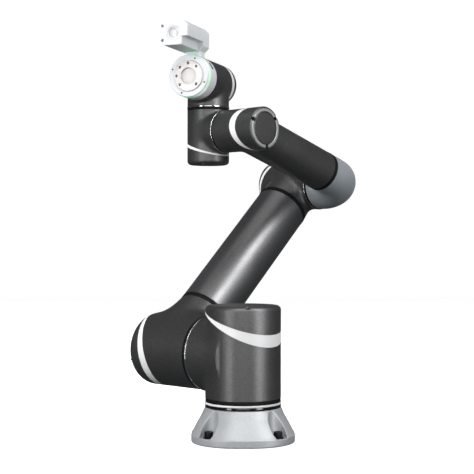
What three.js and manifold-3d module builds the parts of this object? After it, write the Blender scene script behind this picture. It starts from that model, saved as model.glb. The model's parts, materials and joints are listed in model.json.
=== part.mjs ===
// Six-axis collaborative robot arm with a camera beside its tool flange.
// Millimetres, +Z up. The origin is the centre of the mounting face under the base.
// The arm stands in a raised working pose. Each moving body is a nested group whose
// own X runs along its link and whose own Y is the direction of the elbow axes.
import * as THREE from 'three';
import { mergeVertices } from 'three/addons/utils/BufferGeometryUtils.js';
import Module from 'manifold-3d';

const wasm = await Module();
wasm.setup();

// ---------------------------------------------------------------- driving dimensions
const GAP = 0.3;                 // between pieces that touch
const WALL = 5;                  // wall of the housings
const ROUND = 24;                // facets around the small round pieces
const LARGE = 32;                // facets around the shoulder

// Kinematic lengths.
const SHOULDER_HEIGHT = 165.2;   // mounting face to the shoulder axis (joint 2)
const UPPER_ARM = 520.8;         // joint 2 axis to joint 3 axis
const FOREARM = 337;             // joint 3 axis to joint 4 axis
const UPPER_OFFSET = 186.3;      // base axis to the upper-arm tube
const FOREARM_OFFSET = 47;       // base axis to the forearm tube
const WRIST_OFFSET = 156.3;      // base axis to the joint 5 axis
const WRIST_RISE = 106;          // joint 4 axis to the joint 6 axis
const TOOL_REACH = 113.2;        // joint 5 axis to the tool flange face

// Angles of the modelled pose, in degrees.
const BASE_TURN = 46.4;          // joint 1, from +X to the plane of the arm
const UPPER_TILT = 42.7;         // upper arm above the horizontal
const FOREARM_TILT = 163;        // forearm above the horizontal
const WRIST_TILT = 90;           // joint 5 axis above the horizontal
const TOOL_TURN = 113.5;         // joint 5, from the elbow axis to the joint 6 axis

// Base casting.
const FOOT_HALF = 101.5;         // half width of the rounded square foot
const FOOT_CORNER = 88;          // corner radius of the foot
const FOOT_RIM = 14.5;           // height of the upright rim
const BASE_TOP = 66;             // top of the casting
const NECK_RADIUS = 75;          // radius at the top of the casting
const BOLT_SPACING = 132;        // square bolt pattern
const BOLT_SEAT = 14;            // height of the bolt seats
const BOLT_POCKET = 18;          // radius of the open pockets around the bolts

// Joint modules: outside radius, ends along the joint axis, cap edge rounding.
const COLUMN = { radius: 74.6, start: 84.3, end: 265, round: 9 };
const ELBOW_LOW = { radius: 75.3, start: 95.6, end: 264.5, round: 26 };
const ELBOW_TOP = { radius: 55.3, start: 123.6, end: 262.9, round: 12 };
const WRIST_A = { radius: 43.7, start: 102.2, end: -5.3, round: 3.5 };
const WRIST_B = { radius: 43.7, start: 45.4, end: -67, round: 8 };
const WRIST_C = { radius: 44, start: 58.8, end: -62, round: 12 };

// Joint seams: a bright ring and a black seal at each.
const SEAM_2 = 84.6;
const SEAM_3 = 115.4;
const SEAM_4 = 102.5;
const SEAM_5 = 45.7;
const SEAM_6 = 59.1;

// Link tubes.
const UPPER_TUBE_RADIUS = 58.1;
const UPPER_TUBE_START = 113;    // end of the black ring at the lower elbow
const UPPER_TUBE_END = 81;       // start of the black ring, measured back from joint 3
const FOREARM_TUBE_RADIUS = 42.8;
const FOREARM_TUBE_START = 93;
const FOREARM_BEND = 60;         // bend radius of the forearm elbow
const WRIST_NECK = 70;           // neck of the first wrist housing, from joint 4
const RING_WIDTH = 10;           // black rings at the tube ends
const CAP_RING_IN = 33.5;        // bright ring let into the cap at joint 4
const CAP_RING_OUT = 39.5;
const NOTCH_DEPTH = 3.8;         // screw recesses in the cap edges

// Tool head and camera.
const HEAD_RADIUS = 43.6;
const FLANGE_RADIUS = 31.5;      // raised mounting disc
const FLANGE_PILOT = 15.75;      // radius of the central recess
const FLANGE_BOLTS = 25;         // radius of the bolt circle
const CAMERA_WIDTH = 58.8;
const CAMERA_HEIGHT = 48;
const CAMERA_CENTRE = 74;        // camera axis above the tool axis
const CAMERA_BACK = TOOL_REACH - 43;
const CAMERA_FRONT = TOOL_REACH + 73;
const STEP_ACROSS = 17;          // camera step, to the right of the camera axis
const STEP_BELOW = 7;            // camera step, below the camera axis
const LENS_HOLE = 13.5;
const LENS_RADIUS = 13.2;

// ---------------------------------------------------------------- materials
const material = (color, roughness, metalness) =>
  () => new THREE.MeshStandardMaterial({ color, roughness, metalness });
const charcoal = material(0x3a3a3c, 0.45, 0.6);
const tubeGrey = material(0x4a4a4c, 0.38, 0.7);
const elbowGrey = material(0x8f99a1, 0.4, 0.4);
const castGrey = material(0xb4bac1, 0.5, 0.5);
const bandWhite = material(0xd9dadb, 0.35, 0.1);
const black = material(0x08080a, 0.5, 0.0);
const gloss = material(0x0b0b0d, 0.1, 0.2);
const bright = material(0xd5d7d9, 0.12, 1.0);
const headWhite = material(0xdfe3e7, 0.4, 0.1);
const flangeMetal = material(0xe6e3df, 0.35, 0.6);
const lampGreen = material(0x4fc978, 0.3, 0.0);
const lensGlass = material(0x15181c, 0.05, 0.1);
const drive = material(0x8d9094, 0.4, 0.9);
const boltBlack = material(0x121214, 0.45, 0.8);

// ---------------------------------------------------------------- shapes and solids
const rad = THREE.MathUtils.degToRad;

// A body turned about Y from points [radius, height].
function turned(points, segments = ROUND) {
  return new THREE.LatheGeometry(points.map(([r, y]) => new THREE.Vector2(r, y)), segments);
}

// Points of a quarter round between an upright wall and a flat end.
function rounding(radius, end, round, direction, steps = 3) {
  const points = [];
  for (let i = 0; i <= steps; i += 1) {
    const angle = (i / steps) * (Math.PI / 2);
    points.push([
      radius - round + round * Math.cos(angle),
      end - direction * (round - round * Math.sin(angle)),
    ]);
  }
  return points;
}

// The closed solid inside a three.js geometry.
function solid(geometry) {
  const bare = geometry.clone();
  bare.deleteAttribute('normal');
  bare.deleteAttribute('uv');
  const merged = mergeVertices(bare, 1e-4);
  const position = merged.attributes.position;
  const corners = [];
  const a = new THREE.Vector3();
  const b = new THREE.Vector3();
  const c = new THREE.Vector3();
  let volume = 0;
  for (let i = 0; i < merged.index.count; i += 3) {
    const [p, q, r] = [0, 1, 2].map((k) => merged.index.getX(i + k));
    if (p === q || q === r || r === p) {
      continue;
    }
    corners.push([p, q, r]);
    a.fromBufferAttribute(position, p);
    b.fromBufferAttribute(position, q);
    c.fromBufferAttribute(position, r);
    volume += a.dot(b.cross(c));
  }
  const outward = corners.map(([p, q, r]) => (volume < 0 ? [p, r, q] : [p, q, r]));
  return new wasm.Manifold(new wasm.Mesh({
    numProp: 3,
    vertProperties: new Float32Array(position.array),
    triVerts: new Uint32Array(outward.flat()),
  }));
}

// The three.js geometry around a solid.
function skin(body) {
  const mesh = body.getMesh();
  const geometry = new THREE.BufferGeometry();
  geometry.setAttribute('position', new THREE.BufferAttribute(mesh.vertProperties, 3));
  geometry.setIndex(new THREE.BufferAttribute(mesh.triVerts, 1));
  geometry.computeVertexNormals();
  return geometry;
}

function piece(parent, name, body, look, place = {}) {
  const mesh = new THREE.Mesh(skin(body), look());
  mesh.name = name;
  mesh.position.set(...(place.at ?? [0, 0, 0]));
  mesh.rotation.set(...(place.turn ?? [0, 0, 0]));
  parent.add(mesh);
  return mesh;
}

const ring = (inner, outer, start, end, segments = ROUND) =>
  solid(turned([[inner, start], [outer, start], [outer, end], [inner, end], [inner, start]], segments));

const rod = (radius, start, end, segments = 16) =>
  solid(turned([[0, start], [radius, start], [radius, end], [0, end]], segments));

// A rod along another direction, as a solid.
function rodAlong(axis, radius, start, end, at = [0, 0, 0], segments = 16) {
  const geometry = turned([[0, start], [radius, start], [radius, end], [0, end]], segments);
  if (axis === 'x') {
    geometry.rotateZ(-Math.PI / 2);
  }
  if (axis === 'z') {
    geometry.rotateX(Math.PI / 2);
  }
  geometry.translate(...at);
  return solid(geometry);
}

function box(size, at) {
  const geometry = new THREE.BoxGeometry(...size);
  geometry.translate(...at);
  return solid(geometry);
}

// Everything on the cap side of a tilted plane across a joint module. The plane is
// 'wide' deep from the cap on the side of 'azimuth' and 'narrow' deep near the far side.
function capSide(module, wide, narrow, azimuth, shift) {
  const direction = Math.sign(module.end - module.start);
  const slope = (wide - narrow) / (1.77 * module.radius);
  const depth = wide - slope * module.radius;
  const size = 8 * module.radius;
  const geometry = new THREE.BoxGeometry(size, size, size);
  geometry.translate(0, direction * (size / 2 + shift), 0);
  geometry.rotateZ(-direction * Math.atan(slope));
  geometry.translate(0, module.end - direction * depth, 0);
  geometry.rotateY(rad(azimuth));
  return solid(geometry);
}

// The turned shell of a joint module, closed at its cap end, and the room inside it.
function moduleShell(module, segments = ROUND) {
  const direction = Math.sign(module.end - module.start);
  const inside = module.radius - WALL;
  const face = module.end - direction * WALL;
  const shell = turned([
    [0, module.start],
    [module.radius, module.start],
    ...rounding(module.radius, module.end, module.round, direction),
    [0, module.end],
  ], segments);
  const room = turned([
    [0, module.start - direction * 20],
    [inside, module.start - direction * 20],
    ...rounding(inside, face, Math.max(module.round - WALL, 1), direction, 1),
    [0, face],
  ], segments);
  return { shell: solid(shell), room: solid(room) };
}

// A joint module split into housing, oblique band and cap. 'branch' joins the housing
// to its link and 'bore' is the passage inside that branch.
function jointModule(module, band, branch, bore, segments = ROUND) {
  const { shell, room } = moduleShell(module, segments);
  const above = (depths, shift) => capSide(module, depths[0], depths[1], band.azimuth, shift);
  const hollow = shell.subtract(room);
  const capPart = hollow.intersect(above(band.outer, GAP / 2));
  const bandPart = hollow.subtract(above(band.outer, -GAP / 2)).intersect(above(band.inner, GAP / 2));
  let housing = shell;
  if (branch) {
    housing = housing.add(branch);
  }
  housing = housing.subtract(room);
  if (bore) {
    housing = housing.subtract(bore);
  }
  housing = housing.subtract(above(band.outer, -GAP / 2)).subtract(above(band.inner, -GAP / 2));
  return { housing, band: bandPart, cap: capPart };
}

// Three screw recesses in the rounded edge of a cap.
function notchedCap(cap, module, angles, radius = 4.5) {
  const direction = Math.sign(module.end - module.start);
  const distance = module.radius - radius * 1.1;
  const beyond = Math.max(distance - (module.radius - module.round), 0);
  const drop = module.round - Math.sqrt(module.round ** 2 - beyond ** 2);
  let result = cap;
  for (const angle of angles) {
    const cutter = rodAlong(
      'y', radius, -(drop + NOTCH_DEPTH), 12,
      [distance * Math.cos(rad(angle)), 0, distance * Math.sin(rad(angle))], 8,
    );
    const mesh = skin(cutter);
    if (direction < 0) {
      mesh.rotateZ(Math.PI);
      mesh.rotateY(Math.PI);
    }
    mesh.translate(0, module.end, 0);
    result = result.subtract(solid(mesh));
  }
  return result;
}

// Motor, reduction gear and hollow shaft of one joint as a stepped, bored unit.
function driveUnit(radius, start, end) {
  const length = end - start;
  const shaft = radius * 0.2;
  return solid(turned([
    [shaft, start],
    [radius * 0.9, start],
    [radius * 0.9, start + length * 0.3],
    [radius * 0.76, start + length * 0.3],
    [radius * 0.76, start + length * 0.75],
    [radius * 0.55, start + length * 0.75],
    [radius * 0.55, end],
    [shaft, end],
    [shaft, start],
  ], 16));
}

// ---------------------------------------------------------------- the moving bodies
const group = new THREE.Group();
const shoulder = new THREE.Group();
const upperArm = new THREE.Group();
const forearm = new THREE.Group();
const wristOne = new THREE.Group();
const wristTwo = new THREE.Group();
const head = new THREE.Group();

group.add(shoulder);
shoulder.rotation.z = rad(BASE_TURN);
shoulder.add(upperArm);
upperArm.position.z = SHOULDER_HEIGHT;
upperArm.rotation.y = -rad(UPPER_TILT);
upperArm.add(forearm);
forearm.position.x = UPPER_ARM;
forearm.rotation.y = -rad(FOREARM_TILT - UPPER_TILT);
forearm.add(wristOne);
wristOne.position.x = FOREARM;
wristOne.rotation.y = -rad(WRIST_TILT - FOREARM_TILT);
wristOne.add(wristTwo);
wristTwo.position.y = WRIST_OFFSET;
wristTwo.rotation.x = rad(TOOL_TURN);
wristTwo.add(head);
head.position.x = WRIST_RISE;

// Turns that lay a body modelled about Y along Z or along X of its group.
const UPRIGHT = [Math.PI / 2, 0, 0];
const LENGTHWISE = [0, 0, -Math.PI / 2];

// ---------------------------------------------------------------- base
// Distance from the middle to the edge of the rounded square foot, by direction.
function footRadius(angle) {
  const quarter = Math.PI / 2;
  const folded = Math.abs(((angle + quarter / 2) % quarter + quarter) % quarter - quarter / 2);
  const straight = FOOT_HALF - FOOT_CORNER;
  if (Math.tan(folded) * FOOT_HALF <= straight) {
    return FOOT_HALF / Math.cos(folded);
  }
  const along = straight * (Math.cos(folded) + Math.sin(folded));
  const across = straight * (Math.cos(folded) - Math.sin(folded));
  return along + Math.sqrt(FOOT_CORNER ** 2 - across ** 2);
}

// The foot is square below and round at the neck.
function squaredFoot(geometry) {
  const position = geometry.attributes.position;
  for (let i = 0; i < position.count; i += 1) {
    const x = position.getX(i);
    const z = position.getZ(i);
    const radius = Math.hypot(x, z);
    if (radius > NECK_RADIUS) {
      const share = (radius - NECK_RADIUS) / (FOOT_HALF - NECK_RADIUS);
      const grown = radius + share * (footRadius(Math.atan2(z, x)) - FOOT_HALF);
      position.setX(i, (x * grown) / radius);
      position.setZ(i, (z * grown) / radius);
    }
  }
  return geometry;
}

let casting = solid(squaredFoot(turned([
  [0, 0],
  [FOOT_HALF - 3, 0],
  [FOOT_HALF, 3],
  [FOOT_HALF, FOOT_RIM],
  [FOOT_HALF - 2.5, FOOT_RIM + 3.5],
  [FOOT_HALF - 11, FOOT_RIM + 20.5],
  [FOOT_HALF - 20, FOOT_RIM + 36.5],
  [NECK_RADIUS, BASE_TOP],
  [0, BASE_TOP],
], 48)));
casting = casting.subtract(rod(62, 9, BASE_TOP + 5, ROUND));
const bolts = [];
for (const x of [-1, 1]) {
  for (const z of [-1, 1]) {
    const at = [(x * BOLT_SPACING) / 2, 0, (z * BOLT_SPACING) / 2];
    casting = casting.subtract(rodAlong('y', BOLT_POCKET, BOLT_SEAT, BASE_TOP + 20, at, 20));
    casting = casting.subtract(rodAlong('y', 5.8, -5, BOLT_SEAT + 5, at, 12));
    bolts.push(at);
  }
}
const inletHeight = 36;
casting = casting.subtract(rodAlong('z', 11.6, -140, -40, [0, inletHeight, 0], 12));
piece(group, 'base_casting', casting, castGrey, { turn: UPRIGHT });

bolts.forEach((at, index) => {
  const shank = rod(5, 1, BOLT_SEAT + 2, 12);
  const washer = rod(10.5, BOLT_SEAT + GAP, BOLT_SEAT + 2.3, 16);
  const screwHead = rod(8.2, BOLT_SEAT + 2, BOLT_SEAT + 12.5, 16);
  const socket = rod(4.6, BOLT_SEAT + 7, BOLT_SEAT + 20, 6);
  const bolt = shank.add(washer).add(screwHead).subtract(socket);
  piece(group, `base_bolt_${index + 1}`, bolt, boltBlack, { at: [at[0], -at[2], 0], turn: UPRIGHT });
});

// Cable inlet with its lock nut, at the back of the casting.
const inlet = ring(6, 11, 64, 104, 12)
  .add(ring(6, 14, 100.5, 107, 6))
  .add(ring(6, 12.5, 106, 116, 12));
piece(group, 'base_cable_inlet', inlet, black, { at: [0, 0, inletHeight] });

piece(group, 'base_gloss_ring', ring(60, 74.6, BASE_TOP + GAP, 72), gloss, { turn: UPRIGHT });
piece(group, 'base_white_ring', ring(60, 75.4, 72.3, 76.2), headWhite, { turn: UPRIGHT });

// ---------------------------------------------------------------- shoulder (joint 1)
piece(shoulder, 'shoulder_seal', ring(58, 74.2, 76.5, 84), black, { turn: UPRIGHT });

const outlet = rodAlong('z', 76.2, -SEAM_2 + GAP, 0, [0, SHOULDER_HEIGHT, 0], LARGE);
const outletBore = rodAlong('z', 76.2 - WALL, -SEAM_2 - 5, 0, [0, SHOULDER_HEIGHT, 0], LARGE);
const column = jointModule(
  COLUMN,
  { azimuth: -90, outer: [55, 9], inner: [79, 9] },
  outlet,
  outletBore,
  LARGE,
);
piece(shoulder, 'shoulder_housing', column.housing, charcoal, { turn: UPRIGHT });
piece(shoulder, 'shoulder_band', column.band, bandWhite, { turn: UPRIGHT });
const columnCap = notchedCap(column.cap, COLUMN, [9, 129, 249]);
piece(shoulder, 'shoulder_cap', columnCap, charcoal, { turn: UPRIGHT });
piece(shoulder, 'joint_1_drive', driveUnit(67, 86, 232), drive, { turn: UPRIGHT });
piece(shoulder, 'joint_2_ring', ring(60, 77.3, SEAM_2, SEAM_2 + 3.4, LARGE), bright,
  { at: [0, 0, SHOULDER_HEIGHT] });

// ---------------------------------------------------------------- upper arm (joint 2)
piece(upperArm, 'joint_2_seal', ring(60, 75.6, SEAM_2 + 3.7, ELBOW_LOW.start - GAP, LARGE), black);

const lowNeck = [
  [0, 0],
  [70, 0],
  [70, 42],
  [66.5, 60],
  [61.5, 82],
  [UPPER_TUBE_RADIUS, UPPER_TUBE_START - RING_WIDTH - GAP],
  [0, UPPER_TUBE_START - RING_WIDTH - GAP],
];
const lowBranch = turned(lowNeck);
lowBranch.rotateZ(-Math.PI / 2);
lowBranch.translate(0, UPPER_OFFSET, 0);
const lowBore = rodAlong('x', 50, 0, UPPER_TUBE_START, [0, UPPER_OFFSET, 0], ROUND);
const elbowLow = jointModule(
  ELBOW_LOW,
  { azimuth: 180, outer: [45, 9], inner: [65, 9] },
  solid(lowBranch),
  lowBore,
  LARGE,
);
piece(upperArm, 'elbow_lower_housing', elbowLow.housing, charcoal);
piece(upperArm, 'elbow_lower_band', elbowLow.band, bandWhite);
piece(upperArm, 'elbow_lower_cap', notchedCap(elbowLow.cap, ELBOW_LOW, [33, 153, 273], 5), charcoal);
piece(upperArm, 'joint_2_drive', driveUnit(67, 98, 236), drive);

const tubeEnd = UPPER_ARM - UPPER_TUBE_END;
const sleeve = { at: [0, UPPER_OFFSET, 0], turn: LENGTHWISE };
piece(upperArm, 'upper_arm_ring_lower',
  ring(50, 58.3, UPPER_TUBE_START - RING_WIDTH, UPPER_TUBE_START - GAP), black, sleeve);
piece(upperArm, 'upper_arm_tube',
  ring(UPPER_TUBE_RADIUS - WALL, UPPER_TUBE_RADIUS, UPPER_TUBE_START, tubeEnd), tubeGrey, sleeve);
piece(upperArm, 'upper_arm_ring_upper',
  ring(50, 58.3, tubeEnd + GAP, tubeEnd + RING_WIDTH), black, sleeve);

const topNeck = turned([
  [0, 0],
  [52, 0],
  [53.5, 30],
  [56.5, 52],
  [UPPER_TUBE_RADIUS, UPPER_TUBE_END - RING_WIDTH - GAP],
  [0, UPPER_TUBE_END - RING_WIDTH - GAP],
]);
topNeck.rotateZ(Math.PI / 2);
topNeck.translate(0, UPPER_OFFSET, 0);
const topBore = rodAlong('x', 47, -UPPER_TUBE_END, 0, [0, UPPER_OFFSET, 0], ROUND);
const elbowTop = jointModule(
  ELBOW_TOP,
  { azimuth: 0, outer: [26, 8], inner: [40, 13] },
  solid(topNeck),
  topBore,
);
const atElbow = { at: [UPPER_ARM, 0, 0] };
piece(upperArm, 'elbow_upper_housing', elbowTop.housing, charcoal, atElbow);
piece(upperArm, 'elbow_upper_band', elbowTop.band, bandWhite, atElbow);
piece(upperArm, 'elbow_upper_cap', notchedCap(elbowTop.cap, ELBOW_TOP, [25, 145, 265]), charcoal, atElbow);
piece(upperArm, 'joint_3_drive', driveUnit(48, 126, 248), drive, atElbow);
piece(upperArm, 'joint_3_ring', ring(42, 56, SEAM_3 + 5.1, ELBOW_TOP.start - GAP), bright, atElbow);

// ---------------------------------------------------------------- forearm (joint 3)
piece(forearm, 'joint_3_seal', ring(42, 55.2, SEAM_3, SEAM_3 + 4.8), black);

// The forearm elbow is a tapered pipe turned about Y, then bent a quarter turn so that
// it leaves the joint along -Y and ends along +X.
const bendLead = SEAM_3 - GAP - FOREARM_OFFSET - FOREARM_BEND;
const bendArc = (FOREARM_BEND * Math.PI) / 2;
const bendTail = FOREARM_TUBE_START - RING_WIDTH - GAP - FOREARM_BEND;
function bentPipe(inset) {
  const wallIn = inset ? 3 : 0;
  const length = bendLead + bendArc + bendTail;
  const steps = 7;
  const points = [[0, -wallIn]];
  for (let i = 0; i <= steps; i += 1) {
    const along = (i / steps) * bendArc;
    const share = i / steps;
    const taper = share * share * (3 - 2 * share);
    const radius = 55 + (FOREARM_TUBE_RADIUS - 55) * taper - inset;
    if (i === 0) {
      points.push([radius, -wallIn]);
    }
    points.push([radius, bendLead + along]);
  }
  points.push([FOREARM_TUBE_RADIUS - inset, length + wallIn], [0, length + wallIn]);
  const geometry = turned(points);
  const position = geometry.attributes.position;
  for (let i = 0; i < position.count; i += 1) {
    const side = position.getX(i);
    const along = position.getY(i);
    const turn = THREE.MathUtils.clamp(along - bendLead, 0, bendArc) / FOREARM_BEND;
    const before = Math.min(along, bendLead);
    const after = Math.max(along - bendLead - bendArc, 0);
    const reach = FOREARM_BEND - side;
    position.setX(i, FOREARM_BEND - reach * Math.cos(turn) + after);
    position.setY(i, SEAM_3 - GAP - before - reach * Math.sin(turn));
    if (turn === 0) {
      position.setX(i, side);
    }
  }
  return solid(geometry);
}
piece(forearm, 'forearm_elbow', bentPipe(0).subtract(bentPipe(WALL)), elbowGrey);

const foreSleeve = { at: [0, FOREARM_OFFSET, 0], turn: LENGTHWISE };
piece(forearm, 'forearm_ring',
  ring(36, 43, FOREARM_TUBE_START - RING_WIDTH, FOREARM_TUBE_START - GAP), black, foreSleeve);
piece(forearm, 'forearm_tube',
  ring(FOREARM_TUBE_RADIUS - WALL, FOREARM_TUBE_RADIUS, FOREARM_TUBE_START, FOREARM - WRIST_NECK - GAP),
  charcoal, foreSleeve);

const neckA = rodAlong('x', FOREARM_TUBE_RADIUS - 0.6, -WRIST_NECK, 0, [0, FOREARM_OFFSET, 0], ROUND);
const boreA = rodAlong('x', FOREARM_TUBE_RADIUS - WALL, -WRIST_NECK - 5, 0, [0, FOREARM_OFFSET, 0], ROUND);
const wristA = jointModule(
  WRIST_A,
  { azimuth: 0, outer: [44, 11], inner: [60, 13] },
  neckA,
  boreA,
);
const atWrist = { at: [FOREARM, 0, 0] };
piece(forearm, 'wrist_1_housing', wristA.housing, charcoal, atWrist);
piece(forearm, 'wrist_1_band', wristA.band, bandWhite, atWrist);
const groove = ring(CAP_RING_IN - GAP, CAP_RING_OUT + GAP, WRIST_A.end - 5, WRIST_A.end + 1.6);
const wristNotches = [7, 127, 247];
const wristCap = notchedCap(wristA.cap, WRIST_A, wristNotches, 4.2).subtract(groove);
piece(forearm, 'wrist_1_cap', wristCap, charcoal, atWrist);
const capRingBlank = ring(CAP_RING_IN, CAP_RING_OUT, WRIST_A.end - 0.6, WRIST_A.end + 1.3);
const capRing = notchedCap(capRingBlank, WRIST_A, wristNotches, 4.2);
piece(forearm, 'wrist_1_cap_ring', capRing, bright, atWrist);
piece(forearm, 'joint_4_drive', driveUnit(37, 3, 97), drive, atWrist);
piece(forearm, 'joint_4_seal', ring(32, 43.2, SEAM_4, SEAM_4 + 3.3), black, atWrist);

// ---------------------------------------------------------------- wrist 1 (joint 4)
piece(wristOne, 'joint_4_ring', ring(32, 44.2, SEAM_4 + 3.6, SEAM_4 + 6.2), bright);

// The joint 5 axis runs along X here; the branch goes back towards joint 4 along -Y.
const branchB = rodAlong('x', 43.2, -(WRIST_OFFSET - SEAM_4 - 6.5), 0, [0, 0, 0], ROUND);
const boreB = rodAlong('x', 43.2 - WALL, -(WRIST_OFFSET - SEAM_4), 0, [0, 0, 0], ROUND);
const wristB = jointModule(
  WRIST_B,
  { azimuth: 0, outer: [42, 20], inner: [50, 23.5] },
  branchB,
  boreB,
);
const atWristB = { at: [0, WRIST_OFFSET, 0], turn: [Math.PI, 0, -Math.PI / 2] };
piece(wristOne, 'wrist_2_housing', wristB.housing, charcoal, atWristB);
piece(wristOne, 'wrist_2_band', wristB.band, bandWhite, atWristB);
piece(wristOne, 'wrist_2_cap', notchedCap(wristB.cap, WRIST_B, [0, 120, 240], 4), charcoal, atWristB);
piece(wristOne, 'joint_5_drive', driveUnit(37, -52, 42), drive, atWristB);
piece(wristOne, 'joint_5_seal', ring(32, 43.3, SEAM_5, SEAM_5 + 5.2), black, atWristB);

// ---------------------------------------------------------------- wrist 2 (joint 5)
piece(wristTwo, 'joint_5_ring', ring(32, 44.2, SEAM_5 + 5.5, SEAM_5 + 8.3), bright, { turn: LENGTHWISE });

const neckC = turned([
  [0, -(WRIST_RISE - SEAM_5 - 8.6)],
  [43.4, -(WRIST_RISE - SEAM_5 - 8.6)],
  [43.4, 0],
  [0, 0],
]);
neckC.rotateZ(-Math.PI / 2);
const boreC = rodAlong('x', 43.4 - WALL, -WRIST_RISE, 0, [0, 0, 0], ROUND);
const wristC = jointModule(
  WRIST_C,
  { azimuth: -75, outer: [22, 8], inner: [35, 12] },
  solid(neckC),
  boreC,
);
const atWristC = { at: [WRIST_RISE, 0, 0] };
piece(wristTwo, 'wrist_3_housing', wristC.housing, charcoal, atWristC);
piece(wristTwo, 'wrist_3_band', wristC.band, bandWhite, atWristC);
piece(wristTwo, 'wrist_3_cap', notchedCap(wristC.cap, WRIST_C, [0, 120, 240], 4), charcoal, atWristC);
piece(wristTwo, 'joint_6_drive', driveUnit(37, -46, 55), drive, atWristC);

// ---------------------------------------------------------------- tool head (joint 6)
const SHELL_END = TOOL_REACH - 17;
const LAMP_END = TOOL_REACH - 6.5;
piece(head, 'joint_6_seal', ring(32, 43.2, SEAM_6, SEAM_6 + 4), black);

let headShell = ring(35, HEAD_RADIUS, SEAM_6 + 4.3, SHELL_END);
const BUTTON = { width: 7, length: 16, along: 80, travel: 1.5 };
const buttonDeck = HEAD_RADIUS - 3.4;
const buttonSlots = [60, 300];

// A rounded slot standing out from the tool axis at an angle about it.
function slotBody(width, length, from, to, angle) {
  const shape = new THREE.Shape();
  const half = (length - width) / 2;
  shape.absarc(half, 0, width / 2, -Math.PI / 2, Math.PI / 2, false);
  shape.absarc(-half, 0, width / 2, Math.PI / 2, (3 * Math.PI) / 2, false);
  const geometry = new THREE.ExtrudeGeometry(shape, { depth: to - from, bevelEnabled: false, curveSegments: 6 });
  geometry.translate(0, 0, from);
  geometry.rotateZ(Math.PI / 2);
  geometry.rotateY(Math.PI / 2);
  geometry.rotateX(Math.PI / 2);
  geometry.rotateY(-rad(angle));
  geometry.translate(0, BUTTON.along, 0);
  return solid(geometry);
}
for (const angle of buttonSlots) {
  headShell = headShell.subtract(
    slotBody(BUTTON.width + 2 * GAP, BUTTON.length + 2 * GAP, buttonDeck - BUTTON.travel - GAP, 60, angle),
  );
}
piece(head, 'tool_head_shell', headShell, headWhite);
buttonSlots.forEach((angle, index) => {
  const button = slotBody(BUTTON.width, BUTTON.length, buttonDeck, HEAD_RADIUS + 0.2, angle);
  piece(head, `tool_button_${index + 1}`, button, gloss);
});
piece(head, 'tool_light_ring', ring(35, 43.4, SHELL_END + GAP, LAMP_END), lampGreen);
let frontCover = solid(turned([
  [FLANGE_RADIUS + GAP, LAMP_END + GAP],
  [42.9, LAMP_END + GAP],
  [42.9, TOOL_REACH - 4.5],
  [41, TOOL_REACH - 2.5],
  [FLANGE_RADIUS + GAP, TOOL_REACH - 2.5],
  [FLANGE_RADIUS + GAP, LAMP_END + GAP],
]));
for (const angle of [22.5, 112.5, 202.5, 292.5]) {
  const at = [37 * Math.cos(rad(angle)), 0, 37 * Math.sin(rad(angle))];
  frontCover = frontCover.subtract(rodAlong('y', 1.9, TOOL_REACH - 4.3, TOOL_REACH, at, 8));
}
piece(head, 'tool_front_cover', frontCover, headWhite);

let flange = solid(turned([
  [0, LAMP_END - 12],
  [FLANGE_RADIUS, LAMP_END - 12],
  [FLANGE_RADIUS, TOOL_REACH - 0.6],
  [FLANGE_RADIUS - 0.6, TOOL_REACH],
  [FLANGE_PILOT, TOOL_REACH],
  [FLANGE_PILOT, TOOL_REACH - 6],
  [0, TOOL_REACH - 6],
]));
for (const angle of [45, 135, 225, 315, 0, 270]) {
  const at = [FLANGE_BOLTS * Math.cos(rad(angle)), 0, FLANGE_BOLTS * Math.sin(rad(angle))];
  flange = flange.subtract(rodAlong('y', 2.6, TOOL_REACH - 10, TOOL_REACH + 2, at, 8));
}
piece(head, 'tool_flange', flange, flangeMetal);

// Camera: a long box with bevelled edges, stepped at its lower right edge.
function bevelledBox(width, height, bevel, start, end, inset = 0) {
  const x = height / 2 - inset;
  const z = width / 2 - inset;
  const shape = new THREE.Shape();
  shape.moveTo(-x + bevel, -z);
  shape.lineTo(x - bevel, -z);
  shape.lineTo(x, -z + bevel);
  shape.lineTo(x, z - bevel);
  shape.lineTo(x - bevel, z);
  shape.lineTo(-x + bevel, z);
  shape.lineTo(-x, z - bevel);
  shape.lineTo(-x, -z + bevel);
  shape.closePath();
  const geometry = new THREE.ExtrudeGeometry(shape, { depth: end - start, bevelEnabled: false });
  geometry.rotateX(-Math.PI / 2);
  geometry.translate(CAMERA_CENTRE, start, 0);
  return geometry;
}
const stepBack = TOOL_REACH - 10;
const step = box([40, 200, 40], [CAMERA_CENTRE - STEP_BELOW - 20, stepBack + 100, STEP_ACROSS + 20]);
const faceStart = CAMERA_FRONT - 7;
const cameraBody = solid(bevelledBox(CAMERA_WIDTH, CAMERA_HEIGHT, 9, CAMERA_BACK, faceStart - GAP))
  .subtract(solid(bevelledBox(CAMERA_WIDTH, CAMERA_HEIGHT, 7, CAMERA_BACK + 6, faceStart + 5, 4))
    .subtract(box([60, 300, 60], [CAMERA_CENTRE - STEP_BELOW - 26, 0, STEP_ACROSS + 26])))
  .subtract(step);
piece(head, 'camera_body', cameraBody, headWhite);
const lensHole = rodAlong('y', LENS_HOLE, faceStart - 20, CAMERA_FRONT + 5, [CAMERA_CENTRE, 0, 0], 24);
let cameraFace = solid(bevelledBox(CAMERA_WIDTH, CAMERA_HEIGHT, 9, faceStart, CAMERA_FRONT))
  .subtract(step)
  .subtract(lensHole);
for (const x of [-1, 1]) {
  cameraFace = cameraFace.subtract(rodAlong(
    'y', 3.2, CAMERA_FRONT - 4, CAMERA_FRONT + 5, [CAMERA_CENTRE + x * 14, 0, -23.5], 12,
  ));
}
piece(head, 'camera_face', cameraFace, headWhite);
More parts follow.
